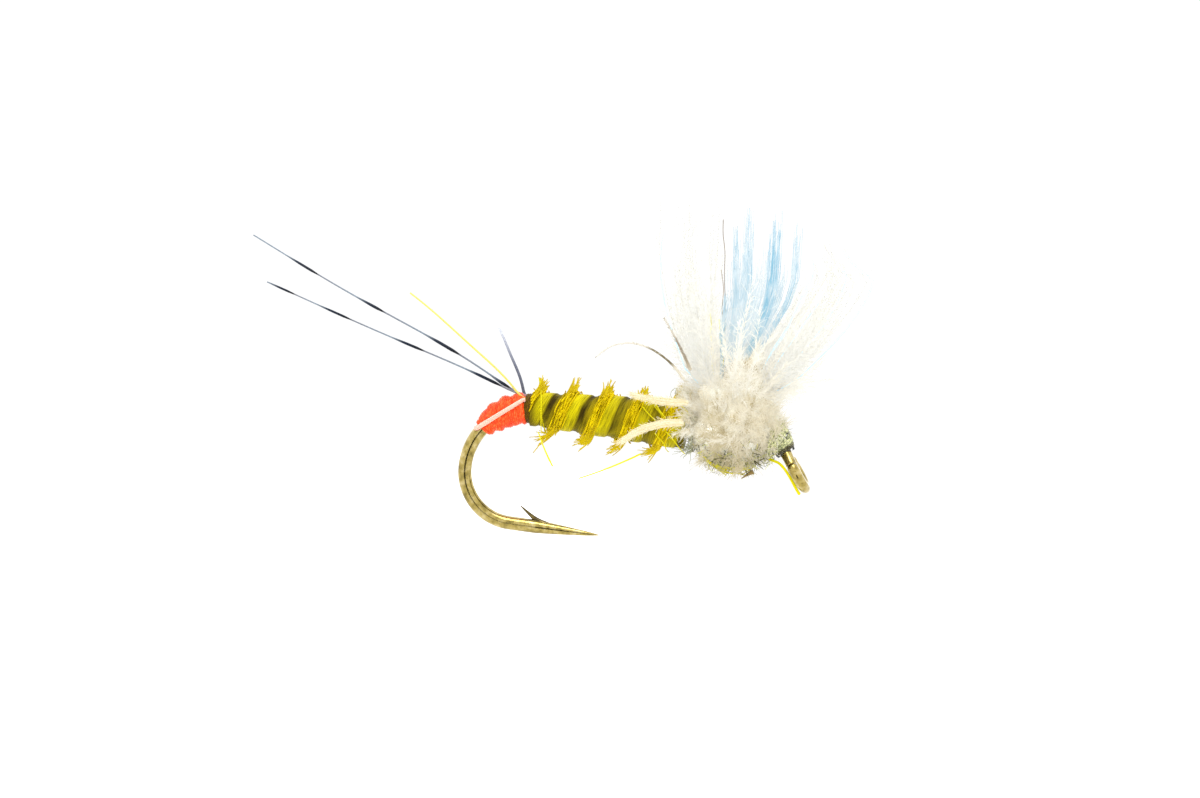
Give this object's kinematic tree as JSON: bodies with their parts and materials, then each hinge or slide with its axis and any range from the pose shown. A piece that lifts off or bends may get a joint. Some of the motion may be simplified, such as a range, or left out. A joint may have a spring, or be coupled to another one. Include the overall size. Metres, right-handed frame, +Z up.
{
  "type": "dry fly",
  "caption": "Dry fly on a barbed hook with a down-turned eye: barred tails, orange butt, wound olive body, pale down thorax and a flared blue and white wing.",
  "frame": {"origin": "centre of the hole in the hook's eye", "axes": "+X runs along the straight shank from the bend towards the eye, +Z is up from the shank towards the wing, +Y is across the hook"},
  "size_m": [0.0199, 0.0038, 0.0112],
  "materials": {
    "bronzed_wire": "bright bronze lacquer over steel wire",
    "tying_thread": "fine waxed olive-grey thread",
    "orange_floss": "fluorescent orange-red floss",
    "clear_strand": "translucent pale strand",
    "barred_fibre": "glassy pale grey fibre with blue-black bars",
    "grey_fibre": "glassy grey fibre",
    "yellow_fibre": "bright yellow fibre",
    "olive_biot": "olive-yellow feather strip with dark edge and golden fringe",
    "olive_dubbing": "rough grey-olive dubbed fur",
    "blue_yarn": "sky-blue crinkled synthetic yarn",
    "pale_down": "near-white feather down",
    "cream_down": "cream feather down",
    "dark_barb": "grey-brown feather barb",
    "clear_cement": "clear gloss head cement"
  },
  "bodies": {
    "root": {"hook": "bronzed_wire", "thread_base": "tying_thread", "butt_floss": "orange_floss", "tail_splitting_strand": "clear_strand", "tie_in_wraps": "tying_thread", "tail_fibre_upper": "barred_fibre", "tail_fibre_lower": "barred_fibre", "tail_fibre_short": "grey_fibre", "tail_fibre_yellow": "yellow_fibre", "underbody": "tying_thread", "body_biot": "olive_biot", "thorax_dubbing": "olive_dubbing", "wing_yarn": "blue_yarn", "wing_post_wraps": "tying_thread", "wing_down_rear": "pale_down", "wing_down_front": "pale_down", "hackle_collar": "cream_down", "trailing_barb_upper": "cream_down", "trailing_barb_lower": "cream_down", "dark_barb_swept": "dark_barb", "dark_barb_upright": "dark_barb", "loose_fibre_front": "yellow_fibre", "loose_fibre_rear": "yellow_fibre", "head_wraps": "tying_thread", "whip_finish": "tying_thread", "head_cement": "clear_cement", "thread_tag": "yellow_fibre"}
  },
  "joints": []
}
